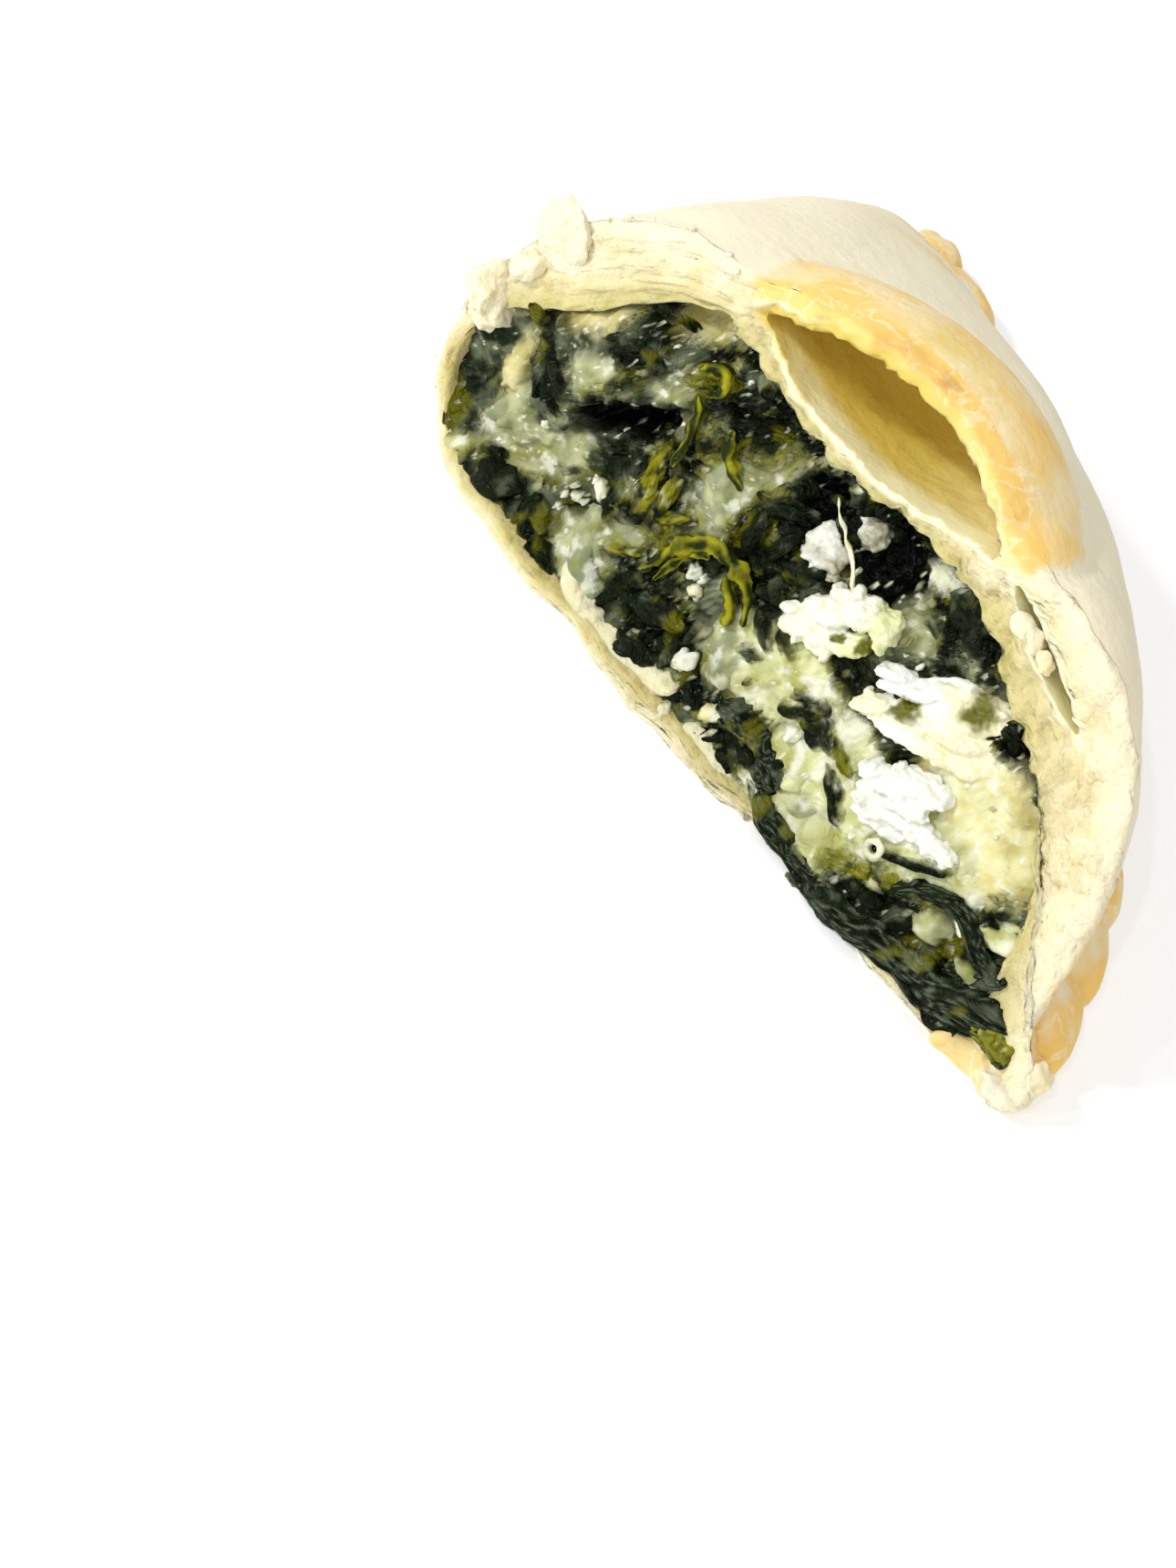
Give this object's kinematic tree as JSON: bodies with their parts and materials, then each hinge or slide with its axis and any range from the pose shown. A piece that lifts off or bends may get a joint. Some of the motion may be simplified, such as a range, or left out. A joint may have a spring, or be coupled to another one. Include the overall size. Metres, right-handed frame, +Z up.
{
  "type": "torn half of a spinach and feta empanada",
  "caption": "Half of a baked savoury turnover, torn open to show its chopped spinach and crumbly white cheese, lying on its flat bottom crust.",
  "frame": {"origin": "on the flat bottom crust, under the middle of the bounding box", "axes": "+Z up; the torn face looks along -Y; the fold is the -X side and the pinched edge runs from +X round to the far tip at +Y"},
  "size_m": [0.0772, 0.0736, 0.034],
  "materials": {
    "pastry": "floury baked dough, golden at the pinched edge",
    "filling": "wet cooked spinach with melted cheese",
    "feta": "moist crumbly cheese"
  },
  "bodies": {
    "root": {"pastry": "pastry", "filling": "filling", "feta_slab": "feta", "feta_crumble_middle": "feta", "feta_crumble_white": "feta", "feta_crumble_small": "feta"}
  },
  "joints": []
}
